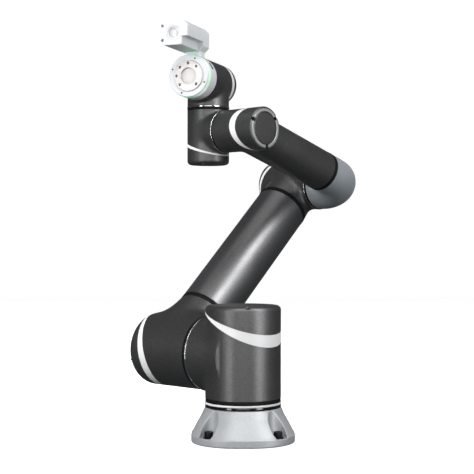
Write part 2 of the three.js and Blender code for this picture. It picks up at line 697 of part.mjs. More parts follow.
const lens = solid(turned([
  [0, faceStart - 14],
  [LENS_RADIUS, faceStart - 14],
  [LENS_RADIUS, CAMERA_FRONT - 0.6],
  [12, CAMERA_FRONT - 0.6],
  [11, CAMERA_FRONT - 1.6],
  [0, CAMERA_FRONT - 1.6],
], 24));
piece(head, 'camera_lens', lens, lensGlass, { at: [CAMERA_CENTRE, 0, 0] });

// Bracket: a neck from the tool head shell up to the rear of the camera.
const neckBottom = HEAD_RADIUS - 3;
const neckTop = CAMERA_CENTRE - CAMERA_HEIGHT / 2 - GAP;
const bracket = box(
  [neckTop - neckBottom, 26, 34],
  [(neckTop + neckBottom) / 2, CAMERA_BACK + 16, 6],
).subtract(rod(HEAD_RADIUS + GAP, 0, 200, ROUND));
piece(head, 'camera_bracket', bracket, headWhite);

export default group;
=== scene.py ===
# Looks for the collaborative robot arm: fine surfaces, materials, camera and light.
# Metres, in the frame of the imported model. Each moving body has its own frame here, whose
# X runs along the link and whose Y is the direction of the elbow axes.
import json
import math

import bmesh
import bpy
import numpy as np
from mathutils import Matrix, Vector

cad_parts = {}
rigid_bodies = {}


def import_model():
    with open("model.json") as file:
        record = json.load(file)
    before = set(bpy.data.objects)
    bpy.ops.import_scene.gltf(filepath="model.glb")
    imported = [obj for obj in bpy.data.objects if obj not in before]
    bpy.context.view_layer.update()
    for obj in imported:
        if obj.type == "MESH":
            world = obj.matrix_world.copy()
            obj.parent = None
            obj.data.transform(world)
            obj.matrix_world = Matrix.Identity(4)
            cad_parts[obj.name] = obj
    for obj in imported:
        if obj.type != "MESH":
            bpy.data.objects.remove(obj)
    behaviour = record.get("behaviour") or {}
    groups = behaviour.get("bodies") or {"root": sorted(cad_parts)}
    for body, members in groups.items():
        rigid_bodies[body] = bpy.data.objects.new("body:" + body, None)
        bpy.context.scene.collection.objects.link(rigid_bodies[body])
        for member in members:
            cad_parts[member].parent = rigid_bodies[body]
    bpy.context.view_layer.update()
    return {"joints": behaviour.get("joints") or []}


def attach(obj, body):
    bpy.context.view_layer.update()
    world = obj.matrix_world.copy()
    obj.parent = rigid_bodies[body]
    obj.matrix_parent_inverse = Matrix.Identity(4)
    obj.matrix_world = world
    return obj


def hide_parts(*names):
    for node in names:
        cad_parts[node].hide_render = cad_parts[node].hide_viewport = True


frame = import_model()

MM = 0.001

# ---------------------------------------------------------------- driving dimensions, mm
WALL = 4.0
GAP = 0.3
SEGMENTS = 128
SHOULDER_HEIGHT = 165.2
UPPER_OFFSET = 186.3
FOREARM_OFFSET = 47.0
WRIST_OFFSET = 156.3
TOOL_REACH = 113.2

# Foot of the base.
FOOT_HALF = 101.5
FOOT_CORNER = 88.0
FOOT_RIM = 14.5
BASE_TOP = 66.0
NECK_RADIUS = 75.0
BOLT_PITCH = 132.0
BOLT_SEAT = 14.0
BOLT_POCKET = 18.0
INLET_HEIGHT = 36.0
INLET_RADIUS = 11.0
SCREW_RADIUS = 8.4
SCREW_TOP = BOLT_SEAT + 13.0
WASHER_RADIUS = 11.0
WHITE_RING = (72.3, 76.2)

# Joint modules: outside radius, open start and cap end along the axis, cap edge rounding.
COLUMN = dict(radius=74.6, start=84.3, end=265.0, round=9.0)
ELBOW_LOW = dict(radius=75.3, start=95.6, end=264.5, round=26.0)
ELBOW_TOP = dict(radius=55.3, start=123.6, end=262.9, round=12.0)
WRIST_A = dict(radius=43.7, start=102.2, end=-5.3, round=3.5)
WRIST_B = dict(radius=43.7, start=45.4, end=-67.0, round=8.0)
WRIST_C = dict(radius=44.0, start=58.8, end=-62.0, round=12.0)

# Joint seams, along each joint axis.
SEAM_2 = 84.6
SEAM_3 = 115.4
SEAM_4 = 102.5
SEAM_5 = 45.7
SEAM_6 = 59.1

# Link tubes.
UPPER_TUBE_RADIUS = 58.1
UPPER_TUBE_START = 113.0
UPPER_TUBE_END = 81.0
FOREARM_TUBE_RADIUS = 42.8
FOREARM_TUBE_START = 93.0
FOREARM_BEND = 60.0
WRIST_NECK = 70.0
RING_WIDTH = 10.0
RING_IN = 33.5
RING_OUT = 39.5
LOW_NECK_END = UPPER_TUBE_START - RING_WIDTH - GAP
TOP_NECK_END = UPPER_TUBE_END - RING_WIDTH - GAP
NOTCH_DEPTH = 3.8

# Tool head and camera.
HEAD_RADIUS = 43.6
SHELL_END = TOOL_REACH - 17.0
LAMP_END = TOOL_REACH - 6.5
FLANGE_RADIUS = 31.5
FLANGE_PILOT = 15.75
FLANGE_BOLTS = 25.0
FLANGE_HOLE = 2.6
FLANGE_BACK = LAMP_END - 12.0
PILOT_FLOOR = TOOL_REACH - 6.0
CAMERA_WIDTH = 58.8
CAMERA_HEIGHT = 48.0
CAMERA_BEVEL = 9.0
CAMERA_CENTRE = 74.0
CAMERA_BACK = TOOL_REACH - 43.0
CAMERA_FRONT = TOOL_REACH + 73.0
STEP_BELOW = 7.0
STEP_ACROSS = 17.0
LENS_HOLE = 13.5
LENS_RING_IN = 15.6
LENS_RING_OUT = 16.5
INDICATOR_HOLE = 3.2
COVER_SCREWS = 37.0


# ---------------------------------------------------------------- frames of the bodies
joint = {j["name"]: j for j in frame["joints"]}


def place(origin, x_axis, y_axis):
    """The frame with this origin, X and Y, in metres."""
    x = Vector(x_axis).normalized()
    y = Vector(y_axis).normalized()
    z = x.cross(y).normalized()
    m = Matrix((x, y, z)).transposed().to_4x4()
    m.translation = Vector(origin)
    return m


def at(name):
    return Vector(joint[name]["pos_m"])


lift = Vector(joint["shoulder_lift"]["axis"])
swing = Vector(joint["wrist_swing"]["axis"])
reach = -Vector(joint["tool_roll"]["axis"])
upper_x = at("elbow_bend") - at("shoulder_lift")
fore_x = at("wrist_tilt") - at("elbow_bend")
FRAMES = {
    "base": Matrix.Identity(4),
    "shoulder": place((0, 0, 0), lift.cross(Vector((0, 0, 1))), lift),
    "upper_arm": place(at("shoulder_lift"), upper_x, lift),
    "forearm": place(at("elbow_bend"), fore_x, lift),
    "wrist_1": place(at("wrist_tilt"), swing, lift),
    "wrist_2": place(at("wrist_swing"), swing, reach),
    "tool_head": place(at("tool_roll"), swing, reach),
}
UPPER_ARM = upper_x.length / MM
FOREARM = fore_x.length / MM
WRIST_RISE = (at("tool_roll") - at("wrist_swing")).length / MM

# Turns from a module's own frame, whose joint axis is Y, into its body's frame.
ALONG_Y = Matrix.Identity(4)
ALONG_Z = Matrix.Rotation(math.radians(90), 4, "X")
ALONG_X = Matrix.Rotation(math.radians(-90), 4, "Z")
WRIST_B_TURN = Matrix.Rotation(math.radians(180), 4, "X") @ ALONG_X


def shifted(x, y, z, turn=ALONG_Y):
    return Matrix.Translation((x, y, z)) @ turn


# ---------------------------------------------------------------- meshes
def rounded_profile(points, rounds, steps=6):
    """A profile with the named corners rounded. 'rounds' maps a corner's index to its radius."""
    out = []
    for i, p in enumerate(points):
        radius = rounds.get(i)
        if not radius:
            out.append(p)
            continue
        before = Vector(points[i - 1]) - Vector(p)
        after = Vector(points[(i + 1) % len(points)]) - Vector(p)
        angle = before.angle(after)
        cut = radius / math.tan(angle / 2)
        a = Vector(p) + before.normalized() * cut
        b = Vector(p) + after.normalized() * cut
        centre = Vector(p) + (before.normalized() + after.normalized()).normalized() * (
            radius / math.sin(angle / 2)
        )
        start = a - centre
        finish = b - centre
        total = start.angle(finish)
        for k in range(steps + 1):
            t = k / steps
            spoke = (start * math.sin((1 - t) * total) + finish * math.sin(t * total)) / math.sin(total)
            out.append(tuple(centre + spoke))
    return out


def turned(profile, closed, segments=96):
    """A bmesh turned about Y from [radius, height] points."""
    bm = bmesh.new()
    rows = []
    for radius, height in profile:
        if radius < 1e-6:
            rows.append([bm.verts.new((0, height, 0))])
            continue
        row = []
        for k in range(segments):
            angle = 2 * math.pi * k / segments
            row.append(bm.verts.new((radius * math.cos(angle), height, radius * math.sin(angle))))
        rows.append(row)
    pairs = list(zip(rows, rows[1:]))
    if closed:
        pairs.append((rows[-1], rows[0]))
    for low, high in pairs:
        for k in range(segments):
            n = (k + 1) % segments
            corners = [low[k % len(low)], low[n % len(low)], high[n % len(high)], high[k % len(high)]]
            unique = list(dict.fromkeys(corners))
            if len(unique) > 2:
                bm.faces.new(unique)
    bmesh.ops.recalc_face_normals(bm, faces=bm.faces)
    return bm


def cut_plane(bm, point, normal, fill=True):
    """Removes what lies on the normal's side of a plane and closes the cut."""
    everything = bm.verts[:] + bm.edges[:] + bm.faces[:]
    made = bmesh.ops.bisect_plane(
        bm, geom=everything, dist=1e-5, plane_co=point, plane_no=normal, clear_outer=True
    )
    edges = [e for e in made["geom_cut"] if isinstance(e, bmesh.types.BMEdge)]
    if fill and edges:
        bmesh.ops.triangle_fill(bm, edges=edges, use_beauty=True, use_dissolve=False)
    return bm


def finish_piece(name, bm, body, nodes, looks, local=None, sharp=38):
    """Turns a bmesh in mm into a piece that rides on a body and stands for CAD nodes."""
    bmesh.ops.scale(bm, vec=(MM, MM, MM), verts=bm.verts)
    matrix = FRAMES[body] @ (scaled(local) if local is not None else Matrix.Identity(4))
    bmesh.ops.transform(bm, matrix=matrix, verts=bm.verts)
    bmesh.ops.recalc_face_normals(bm, faces=bm.faces)
    mesh = bpy.data.meshes.new(name)
    bm.to_mesh(mesh)
    bm.free()
    mesh.shade_smooth()
    mesh.set_sharp_from_angle(angle=math.radians(sharp))
    mesh.materials.append(looks)
    piece = bpy.data.objects.new(name, mesh)
    bpy.context.scene.collection.objects.link(piece)
    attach(piece, body)
    if nodes:
        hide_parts(*nodes)
    return piece


def scaled(m):
    """A local placement given in mm, in metres."""
    out = m.copy()
    out.translation = m.translation * MM
    return out


def boolean(target, cutters, operation="DIFFERENCE"):
    """Applies exact booleans between bmeshes and returns the result as a bmesh."""
    base = bpy.data.objects.new("work", bpy.data.meshes.new("work"))
    bpy.context.scene.collection.objects.link(base)
    target.to_mesh(base.data)
    target.free()
    helpers = []
    for bm in cutters:
        helper = bpy.data.objects.new("cutter", bpy.data.meshes.new("cutter"))
        bpy.context.scene.collection.objects.link(helper)
        bm.to_mesh(helper.data)
        bm.free()
        helpers.append(helper)
        modifier = base.modifiers.new("cut", "BOOLEAN")
        modifier.operation = operation
        modifier.solver = "EXACT"
        modifier.object = helper
    bpy.context.view_layer.update()
    evaluated = base.evaluated_get(bpy.context.evaluated_depsgraph_get())
    out = bmesh.new()
    out.from_mesh(evaluated.to_mesh())
    evaluated.to_mesh_clear()
    for o in [base, *helpers]:
        data = o.data
        bpy.data.objects.remove(o)
        bpy.data.meshes.remove(data)
    return out


def rod(radius, start, end, axis="Y", centre=(0, 0, 0), segments=32, chamfer=0.0):
    """A closed rod along Y, X or Z, in mm."""
    rounds = [(0, start), (radius, start), (radius, end), (0, end)]
    if chamfer:
        rounds = [(0, start), (radius, start), (radius, end - chamfer), (radius - chamfer, end), (0, end)]
    bm = turned(rounds, False, segments)
    if axis == "X":
        bmesh.ops.transform(bm, matrix=ALONG_X, verts=bm.verts)
    if axis == "Z":
        bmesh.ops.transform(bm, matrix=ALONG_Z, verts=bm.verts)
    bmesh.ops.translate(bm, vec=centre, verts=bm.verts)
    return bm


def joined(*parts):
    """Several bmeshes in one."""
    out = bmesh.new()
    for part in parts:
        mesh = bpy.data.meshes.new("part")
        part.to_mesh(mesh)
        part.free()
        out.from_mesh(mesh)
        bpy.data.meshes.remove(mesh)
    return out


# ---------------------------------------------------------------- blended surfaces
def smooth_min(a, b, width):
    h = np.clip(0.5 + 0.5 * (b - a) / width, 0, 1)
    return b + (a - b) * h - width * h * (1 - h)


def smooth_max(a, b, width):
    return -smooth_min(-a, -b, width)


def net_surface(field, low, high, step):
    """A closed quad net on field = 0 inside a box in mm, moved onto the surface exactly."""
    counts = [int(math.ceil((b - a) / step)) + 1 for a, b in zip(low, high)]
    axes = [low[k] + step * np.arange(counts[k]) for k in range(3)]
    grid = np.stack(np.meshgrid(*axes, indexing="ij"), axis=-1)
    inside = field(grid.reshape(-1, 3)).reshape(counts) < 0
    cells = [c - 1 for c in counts]
    total = np.zeros(cells, dtype=int)
    for dx in (0, 1):
        for dy in (0, 1):
            for dz in (0, 1):
                total += inside[
                    dx:dx + cells[0], dy:dy + cells[1], dz:dz + cells[2]
                ]
    mixed = (total > 0) & (total < 8)
    index = -np.ones(cells, dtype=int)
    where = np.argwhere(mixed)
    index[tuple(where.T)] = np.arange(len(where))
    points = np.array(low) + step * (where + 0.5)
    quads = []
    for k in range(3):
        a, b = [i for i in range(3) if i != k]
        first = inside[tuple(slice(0, counts[i] - (i == k)) for i in range(3))]
        second = inside[tuple(slice(1 if i == k else 0, counts[i]) for i in range(3))]
        crossing = np.argwhere(first != second)
        keep = (crossing[:, a] > 0) & (crossing[:, b] > 0)
        keep &= (crossing[:, a] < counts[a] - 1) & (crossing[:, b] < counts[b] - 1)
        crossing = crossing[keep]
        ring = []
        for da, db in ((-1, -1), (0, -1), (0, 0), (-1, 0)):
            cell = crossing.copy()
            cell[:, a] += da
            cell[:, b] += db
            ring.append(index[tuple(cell.T)])
        quads.append(np.stack(ring, axis=1))
    faces = np.concatenate(quads)
    faces = faces[(faces >= 0).all(axis=1)]
    small = 0.05
    for _ in range(12):
        value = field(points)
        slope = np.stack(
            [
                (field(points + small * e) - field(points - small * e)) / (2 * small)
                for e in np.eye(3)
            ],
            axis=1,
        )
        length = np.maximum((slope**2).sum(axis=1), 0.05)
        move = -(value / length)[:, None] * slope
        reach_ = np.linalg.norm(move, axis=1, keepdims=True)
        move *= np.minimum(1, step / np.maximum(reach_, 1e-9))
        points = points + move
    bm = bmesh.new()
    verts = [bm.verts.new(p) for p in points]
    for face in faces:
        corners = list(dict.fromkeys(int(i) for i in face))
        if len(corners) > 2:
            try:
                bm.faces.new([verts[i] for i in corners])
            except ValueError:
                continue
    loose = [v for v in bm.verts if not v.link_faces]
    bmesh.ops.delete(bm, geom=loose, context="VERTS")
    bmesh.ops.recalc_face_normals(bm, faces=bm.faces)
    return bm


def thicken(bm, thickness):
    """Gives an open skin a wall towards its inside."""
    mesh = bpy.data.meshes.new("skin")
    bm.to_mesh(mesh)
    bm.free()
    shell = bpy.data.objects.new("skin", mesh)
    bpy.context.scene.collection.objects.link(shell)
    modifier = shell.modifiers.new("wall", "SOLIDIFY")
    modifier.thickness = thickness
    modifier.offset = -1
    modifier.use_rim = True
    bpy.context.view_layer.update()
    evaluated = shell.evaluated_get(bpy.context.evaluated_depsgraph_get())
    out = bmesh.new()
    out.from_mesh(evaluated.to_mesh())
    evaluated.to_mesh_clear()
    bpy.data.objects.remove(shell)
    bpy.data.meshes.remove(mesh)
    return out


# ---------------------------------------------------------------- materials
def nodes_of(name):
    material = bpy.data.materials.new(name)
    material.use_nodes = True
    tree = material.node_tree
    shader = tree.nodes["Principled BSDF"]
    where = tree.nodes.new("ShaderNodeTexCoord")
    return material, tree, shader, where


def noise(tree, where, scale, detail=3.0, roughness=0.5):
    """Noise with features of 1/scale metres, from the object's own coordinates."""
    node = tree.nodes.new("ShaderNodeTexNoise")
    node.inputs["Scale"].default_value = scale
    node.inputs["Detail"].default_value = detail
    node.inputs["Roughness"].default_value = roughness
    tree.links.new(where.outputs["Object"], node.inputs["Vector"])
    return node.outputs["Fac"]


def spread(tree, value, low, high, from_low=0.3, from_high=0.7):
    node = tree.nodes.new("ShaderNodeMapRange")
    node.inputs["From Min"].default_value = from_low
    node.inputs["From Max"].default_value = from_high
    node.inputs["To Min"].default_value = low
    node.inputs["To Max"].default_value = high
    tree.links.new(value, node.inputs["Value"])
    return node.outputs["Result"]


def between(tree, value, first, second):
    node = tree.nodes.new("ShaderNodeMix")
    node.data_type = "RGBA"
    node.inputs["A"].default_value = (*first, 1)
    node.inputs["B"].default_value = (*second, 1)
    tree.links.new(value, node.inputs["Factor"])
    return node.outputs["Result"]


def bump(tree, shader, height, strength, distance):
    node = tree.nodes.new("ShaderNodeBump")
    node.inputs["Strength"].default_value = strength
    node.inputs["Distance"].default_value = distance
    tree.links.new(height, node.inputs["Height"])
    tree.links.new(node.outputs["Normal"], shader.inputs["Normal"])


def finish_of(
    name, dark, light, metallic, rough, grain=700.0, grain_depth=0.00002, grain_strength=0.25,
    coat=0.0, coat_rough=0.15, cloud=9.0, specular=0.5,
):
    """A surface with fine grain in its colour and height and slow clouds in its roughness."""
    material, tree, shader, where = nodes_of(name)
    fine = noise(tree, where, grain, 3.0, 0.7)
    slow = noise(tree, where, cloud, 4.0, 0.55)
    colour = between(tree, spread(tree, fine, 0.0, 1.0, 0.35, 0.65), dark, light)
    tree.links.new(colour, shader.inputs["Base Color"])
    tree.links.new(spread(tree, slow, rough[0], rough[1]), shader.inputs["Roughness"])
    shader.inputs["Metallic"].default_value = metallic
    shader.inputs["Specular IOR Level"].default_value = specular
    shader.inputs["Coat Weight"].default_value = coat
    shader.inputs["Coat Roughness"].default_value = coat_rough
    bump(tree, shader, fine, grain_strength, grain_depth)
    return material


CHARCOAL = finish_of("charcoal_paint", (0.075, 0.075, 0.077), (0.155, 0.155, 0.157), 0.8, (0.38, 0.46))
TUBE = finish_of("tube_paint", (0.12, 0.12, 0.123), (0.22, 0.22, 0.223), 0.85, (0.34, 0.42))
GREY = finish_of("grey_paint", (0.38, 0.42, 0.45), (0.46, 0.5, 0.53), 0.45, (0.36, 0.44))
CAST = finish_of(
    "cast_paint", (0.36, 0.375, 0.39), (0.43, 0.445, 0.46), 0.35, (0.44, 0.54), 500.0, 0.00005, 0.35,
)
BAND = finish_of("band_plastic", (0.78, 0.78, 0.785), (0.83, 0.83, 0.835), 0.0, (0.4, 0.48), 1400.0)
RUBBER = finish_of(
    "seal_rubber", (0.004, 0.004, 0.0045), (0.009, 0.009, 0.01), 0.0, (0.6, 0.7), 1500.0, specular=0.12,
)
GLOSS = finish_of(
    "gloss_black", (0.004, 0.004, 0.005), (0.006, 0.006, 0.007), 0.0, (0.08, 0.14), 1200.0, 0.000005, 0.1,
    coat=0.6,
)
BRIGHT = finish_of(
    "bright_metal", (0.72, 0.73, 0.75), (0.8, 0.81, 0.83), 1.0, (0.1, 0.2), 2600.0, 0.000004, 0.15,
)
# Light satin metal for the first wrist cap's ring; its light tone is partly painted highlight, standing in
# for the light that the cap's rounded edge catches.
SATIN_WITH_PAINTED_HIGHLIGHT = finish_of(
    "satin_metal_painted_highlight", (0.42, 0.425, 0.43), (0.52, 0.525, 0.53), 0.6, (0.34, 0.46), 900.0, 0.00001, 0.2,
)
HEAD = finish_of(
    "head_plastic", (0.66, 0.685, 0.71), (0.71, 0.735, 0.76), 0.0, (0.36, 0.46), 1400.0, 0.00001, 0.2,
)
FACE = finish_of(
    "face_plastic", (0.72, 0.725, 0.73), (0.77, 0.775, 0.78), 0.0, (0.4, 0.5), 1400.0, 0.00001, 0.2,
)
STEEL = finish_of("black_steel", (0.008, 0.008, 0.009), (0.02, 0.02, 0.021), 0.8, (0.35, 0.5), 1400.0)
DRIVE = finish_of("drive_alloy", (0.3, 0.31, 0.33), (0.42, 0.43, 0.45), 1.0, (0.3, 0.45), 700.0)


def flange_finish():
    """Pale alloy with a fine even grain."""
    material, tree, shader, where = nodes_of("flange_alloy")
    fine = noise(tree, where, 2200.0, 2.0, 0.6)
    colour = between(tree, spread(tree, fine, 0.0, 1.0, 0.35, 0.65), (0.6, 0.585, 0.57), (0.68, 0.665, 0.65))
    tree.links.new(colour, shader.inputs["Base Color"])
    slow = noise(tree, where, 60.0, 3.0)
    tree.links.new(spread(tree, slow, 0.34, 0.44), shader.inputs["Roughness"])
    shader.inputs["Metallic"].default_value = 0.35
    bump(tree, shader, fine, 0.25, 0.00001)
    return material


def lamp_finish():
    """A milky ring lit green from inside, stronger in some places than in others."""
    material, tree, shader, where = nodes_of("lamp_diffuser")
    slow = noise(tree, where, 22.0, 1.0)
    share = spread(tree, slow, 0.0, 1.0, 0.38, 0.62)
    tree.links.new(between(tree, share, (0.8, 0.86, 0.82), (0.35, 0.78, 0.48)), shader.inputs["Base Color"])
    tree.links.new(between(tree, share, (0.75, 0.9, 0.8), (0.1, 0.75, 0.25)), shader.inputs["Emission Color"])
    shader.inputs["Emission Strength"].default_value = 0.45
    tree.links.new(spread(tree, noise(tree, where, 1500.0), 0.3, 0.42), shader.inputs["Roughness"])
    return material


def lens_finish():
    """A pale window over the lens, with painted shade: its colour darkens at grazing view angles."""
    material, tree, shader, where = nodes_of("lens_glass")
    # Painted shade: the base colour turns dark where the surface is seen at a grazing angle.
    edge = tree.nodes.new("ShaderNodeLayerWeight")
    edge.inputs["Blend"].default_value = 0.35
    tree.links.new(
        between(tree, edge.outputs["Facing"], (0.62, 0.64, 0.67), (0.3, 0.3, 0.36)),
        shader.inputs["Base Color"],
    )
    tree.links.new(spread(tree, noise(tree, where, 300.0), 0.03, 0.07), shader.inputs["Roughness"])
    shader.inputs["Coat Weight"].default_value = 1.0
    shader.inputs["Coat Roughness"].default_value = 0.03
    return material


SEAL = ("seal_rubber", RUBBER)
METAL = ("bright_ring", BRIGHT)
FLANGE = flange_finish()
LAMP = lamp_finish()
LENS = lens_finish()


# ---------------------------------------------------------------- joint modules
def direction(module):
    return 1 if module["end"] > module["start"] else -1


def band_plane(module, wide, narrow, azimuth):
    """A point and a normal towards the cap for one edge of an oblique band."""
    side = direction(module)
    slope = (wide - narrow) / (1.77 * module["radius"])
    depth = wide - slope * module["radius"]
    a = math.radians(azimuth)
    normal = Vector((side * slope * math.cos(a), 1, -side * slope * math.sin(a))).normalized() * side
    return Vector((0, module["end"] - side * depth, 0)), normal


def capped(points, module):
    """Distance to the module's outer cylinder with its rounded cap end."""
    side = direction(module)
    r = np.hypot(points[:, 0], points[:, 2]) - (module["radius"] - module["round"])
    h = side * (points[:, 1] - module["end"]) + module["round"]
    outside = np.hypot(np.maximum(r, 0), np.maximum(h, 0)) - module["round"]
    return outside + np.minimum(np.maximum(r, h), 0)


def necked(points, centre_y, sign, stations):
    """Distance to a round neck along X whose radius follows [distance, radius] stations."""
    x = sign * points[:, 0]
    radius = np.interp(x, [s[0] for s in stations], [s[1] for s in stations])
    return np.maximum(np.hypot(points[:, 1] - centre_y, points[:, 2]) - radius, -x)


def necked_module(module, centre_y, sign, stations, blend):
    """The distance to a module blended into the neck of its link."""
    def field(points):
        return smooth_min(capped(points, module), necked(points, centre_y, sign, stations), blend)
    return field


def housing(name, module, band, field, box, cuts, body, nodes, local=None, step=2.6):
    """A blended housing: a skin on the field, cut at its seams and bands, with a wall."""
    bm = net_surface(field, box[0], box[1], step)
    for point, normal in cuts:
        cut_plane(bm, Vector(point), Vector(normal), fill=False)
    for edge in ("inner", "outer"):
        point, normal = band_plane(module, *band[edge], band["azimuth"])
        cut_plane(bm, point - 0.12 * normal, normal, fill=False)
    bm = thicken(bm, WALL)
    return finish_piece(name, bm, body, nodes, CHARCOAL, local, sharp=50)


def notch_places(module, angles):
    side = direction(module)
    return [(math.cos(math.radians(a)), side * math.sin(math.radians(a))) for a in angles]


def cap_profile(module, low, disc):
    """A cap's outside from its open edge to its middle, with a groove around its disc."""
    side = direction(module)
    radius, end, round_ = module["radius"], module["end"], module["round"]
    profile = [(radius, low)]
    for k in range(13):
        t = k / 12 * math.pi / 2
        profile.append((radius - round_ * (1 - math.cos(t)), end - side * round_ * (1 - math.sin(t))))
    if disc:
        groove = disc * radius
        profile = [p for p in profile if p[0] > groove + 1.2]
        level = profile[-1][1]
        profile += [
            (groove + 1.0, level),
            (groove + 0.6, level - side * 0.3),
            (groove + 0.6, level - side * 1.6),
            (groove - 0.6, level - side * 1.6),
            (groove - 0.6, level - side * 0.5),
            (groove - 1.1, level),
        ]
        return profile, level
    profile += [
        (RING_OUT + 0.7, end),
        (RING_OUT + 0.3, end - side * 0.4),
        (RING_OUT + 0.3, end - side * 5),
        (RING_IN - 1.6, end - side * 5),
        (RING_IN - 1.6, end - side * 0.8),
        (RING_IN - 2.4, end),
    ]
    return profile, end


def cap_and_band(prefix, module, band, body, nodes, angles, local=None, notch=4.5, disc=0.79):
    """The rounded cap with its ring groove and screw notches, and the band below it."""
    side = direction(module)
    radius, end, round_ = module["radius"], module["end"], module["round"]
    low = end - side * (max(band["outer"][0], band["inner"][0]) + 25)
    profile, level = cap_profile(module, low, disc)
    shoulder = profile[1:14]
    inside = radius - WALL
    profile += [
        (0, level + side * 0.12),
        (0, level - side * 8),
        (inside - round_, level - side * 8),
        (inside, end - side * (round_ + 6)),
        (inside, low),
    ]
    bm = turned(profile, True, SEGMENTS)
    point, normal = band_plane(module, *band["outer"], band["azimuth"])
    cut_plane(bm, point + 0.12 * normal, -normal)
    distance = radius - notch * 1.1
    beyond = max(distance - (radius - round_), 0)
    drop = round_ - math.sqrt(round_**2 - beyond**2)
    bottom = end - side * (drop + NOTCH_DEPTH)
    top = end + side * 9
    cutters = []
    screws = []
    for cx, cz in notch_places(module, angles):
        spot = (cx * distance, 0, cz * distance)
        rim = (cx * (radius + 1), 0, cz * (radius + 1))
        cutters.append(rod(notch, min(bottom, top), max(bottom, top), "Y", spot, 28))
        cutters.append(rod(notch, min(bottom, top), max(bottom, top), "Y", rim, 28))
        screws.append(socket_screw(notch * 0.62, bottom + side * 0.1, bottom + side * 2.2, spot, side))
    bm = boolean(bm, cutters)
    finish_piece(f"{prefix}_end_cap", bm, body, [nodes["cap"]], CHARCOAL, local)
    finish_piece(f"{prefix}_cap_screws", joined(*screws), body, [], STEEL, local)
    crest = [(r + 0.06, y) for r, y in shoulder if r > radius - round_ * 0.6]
    strip = turned(
        [(radius - 3, low), (radius + 0.06, low), *crest, (crest[-1][0] - 3, crest[-1][1] - side * 3),
         (radius - 3, crest[0][1] - side * 2)],
        True, SEGMENTS,
    )
    cut_plane(strip, point - 0.12 * normal, normal)
    inner, inner_normal = band_plane(module, *band["inner"], band["azimuth"])
    cut_plane(strip, inner + 0.12 * inner_normal, -inner_normal)
    finish_piece(f"{prefix}_white_band", strip, body, [nodes["band"]], BAND, local)


def socket_screw(radius, bottom, top, spot, side):
    """A small socket head screw standing along Y, its mouth on the cap side."""
    head = rod(radius, min(bottom, top), max(bottom, top), "Y", spot, 28)
    reach_ = top - side * (abs(top - bottom) * 0.6)
    socket = rod(radius * 0.52, min(reach_, top + side), max(reach_, top + side), "Y", spot, 6)
    return boolean(head, [socket])


def ring_piece(name, inner, outer, start, end, body, nodes, slot, looks, local=None, edge=0.5):
    """A round ring with softened edges, about Y."""
    profile = rounded_profile(
        [(inner, start), (outer, start), (outer, end), (inner, end)],
        {1: edge, 2: edge},
        3,
    )
    return finish_piece(name, turned(profile, True, SEGMENTS), body, nodes, looks, local)


def tube_piece(name, inner, outer, start, end, body, node, looks, centre_y):
    """A link tube along X with a few rows, so that long faces stay even."""
    rows = [start + (end - start) * k / 12 for k in range(13)]
    profile = [(outer, y) for y in rows] + [(inner, y) for y in reversed(rows)]
    return finish_piece(
        name, turned(profile, True, SEGMENTS), body, [node], looks, shifted(0, centre_y, 0, ALONG_X)
    )


# ---------------------------------------------------------------- base
def foot_radius(angle):
    quarter = math.pi / 2
    folded = np.abs((angle + quarter / 2) % quarter - quarter / 2)
    straight = FOOT_HALF - FOOT_CORNER
    along = straight * (np.cos(folded) + np.sin(folded))
    across = straight * (np.cos(folded) - np.sin(folded))
    corner = along + np.sqrt(np.maximum(FOOT_CORNER**2 - across**2, 0))
    return np.where(np.tan(folded) * FOOT_HALF <= straight, FOOT_HALF / np.cos(folded), corner)


def foot_field(points):
    """The foot casting, with Y up."""
    x, y, z = points.T
    r = np.hypot(x, z)
    stations = [0, FOOT_RIM, FOOT_RIM + 3.5, FOOT_RIM + 20.5, FOOT_RIM + 36.5, BASE_TOP, BASE_TOP + 20]
    radii = [FOOT_HALF, FOOT_HALF, FOOT_HALF - 2.5, FOOT_HALF - 11, FOOT_HALF - 20, NECK_RADIUS, NECK_RADIUS]
    plain = np.interp(y, stations, radii)
    share = np.clip((plain - NECK_RADIUS) / (FOOT_HALF - NECK_RADIUS), 0, 1)
    outer = plain + share * (foot_radius(np.arctan2(z, x)) - FOOT_HALF)
    body = (r - outer) * 0.86
    body = smooth_max(body, y - BASE_TOP, 1.0)
    body = smooth_max(body, -y, 2.0)
    half = BOLT_PITCH / 2
    pocket = np.maximum(
        np.hypot(np.abs(x) - half, np.abs(z) - half) - BOLT_POCKET, BOLT_SEAT - y
    )
    return smooth_max(body, -pocket, 1.6)


casting = net_surface(foot_field, (-120, -4, -120), (120, 70, 120), 1.6)
casting = boolean(casting, [
    rod(62, 9, BASE_TOP + 5, "Y", (0, 0, 0), 96),
    rod(INLET_RADIUS + 0.4, -140, -40, "Z", (0, INLET_HEIGHT, 0), 48),
])
finish_piece("foot_casting", casting, "base", ["base_casting"], CAST, ALONG_Z, sharp=40)

for index, (sx, sz) in enumerate([(-1, -1), (-1, 1), (1, -1), (1, 1)]):
    spot = (sx * BOLT_PITCH / 2, 0, sz * BOLT_PITCH / 2)
    low, high = BOLT_SEAT + GAP, BOLT_SEAT + 2.6
    washer = turned(rounded_profile(
        [(6.2, low), (WASHER_RADIUS, low), (WASHER_RADIUS, high), (6.2, high)],
        {1: 0.4, 2: 0.4}, 2), True, 48)
    bmesh.ops.translate(washer, vec=spot, verts=washer.verts)
    head_ = turned(rounded_profile(
        [(0, high + 0.1), (SCREW_RADIUS, high + 0.1), (SCREW_RADIUS, SCREW_TOP), (0, SCREW_TOP)],
        {1: 0.5, 2: 1.2}, 4), False, 48)
    bmesh.ops.translate(head_, vec=spot, verts=head_.verts)
    head_ = boolean(head_, [rod(5.0, BOLT_SEAT + 7, BOLT_SEAT + 20, "Y", spot, 6)])
    shank = rod(5, 1, BOLT_SEAT + 4, "Y", spot, 32)
    finish_piece(
        f"foot_bolt_{index + 1}", joined(washer, head_, shank), "base",
        [f"base_bolt_{index + 1}"], STEEL, ALONG_Z,
    )

